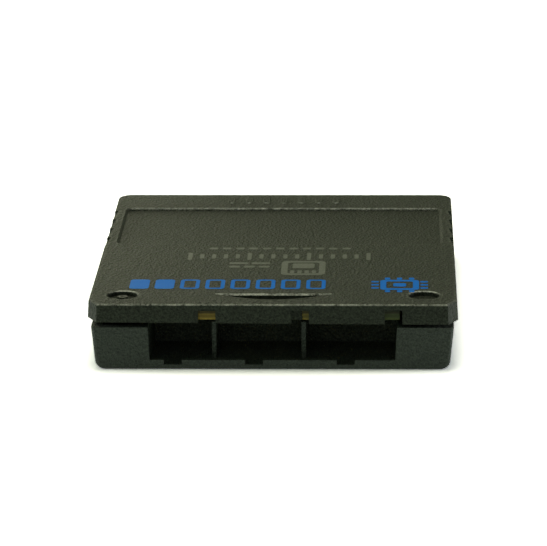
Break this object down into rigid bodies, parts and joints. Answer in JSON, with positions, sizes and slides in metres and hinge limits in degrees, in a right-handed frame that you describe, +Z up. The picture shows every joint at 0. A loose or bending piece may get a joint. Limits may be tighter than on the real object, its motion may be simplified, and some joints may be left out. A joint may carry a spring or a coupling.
{
  "type": "memory card",
  "caption": "Flat black plastic memory card for a game console, with a keyed connector mouth at one end, a shallow label recess, low finger ribs, side grips and a circuit board inside",
  "frame": {"origin": "centre of the footprint on the surface that the card lies on", "axes": "+Z up through the card, +Y along its length from the connector mouth to the plain rear end, +X across its width to the right when the mouth faces the viewer"},
  "size_m": [0.0425, 0.0544, 0.0079],
  "materials": {
    "shell_plastic": "black moulded plastic with a fine spark-eroded grain",
    "board_laminate": "glass-fibre laminate with a tan cut edge",
    "gold_plate": "thin gold plate over copper",
    "chip_epoxy": "matt black moulded epoxy",
    "tinned_lead": "dull tin plate",
    "resonator_ceramic": "matt fired ceramic",
    "capacitor_ceramic": "brown fired ceramic",
    "resistor_ceramic": "black glazed ceramic"
  },
  "bodies": {
    "root": {"lower_shell": "shell_plastic", "upper_shell": "shell_plastic", "circuit_board": "board_laminate", "contact_land_1": "gold_plate", "contact_land_2": "gold_plate", "contact_land_3": "gold_plate", "contact_land_4": "gold_plate", "contact_land_5": "gold_plate", "contact_land_6": "gold_plate", "contact_land_7": "gold_plate", "contact_land_8": "gold_plate", "flash_chip": "chip_epoxy", "flash_leads": "tinned_lead", "controller_chip": "chip_epoxy", "controller_leads": "tinned_lead", "ceramic_resonator": "resonator_ceramic", "capacitor_1": "capacitor_ceramic", "capacitor_2": "capacitor_ceramic", "capacitor_3": "capacitor_ceramic", "capacitor_4": "capacitor_ceramic", "capacitor_5": "capacitor_ceramic", "resistor_1": "resistor_ceramic", "resistor_2": "resistor_ceramic", "resistor_3": "resistor_ceramic", "resistor_4": "resistor_ceramic"}
  },
  "joints": []
}
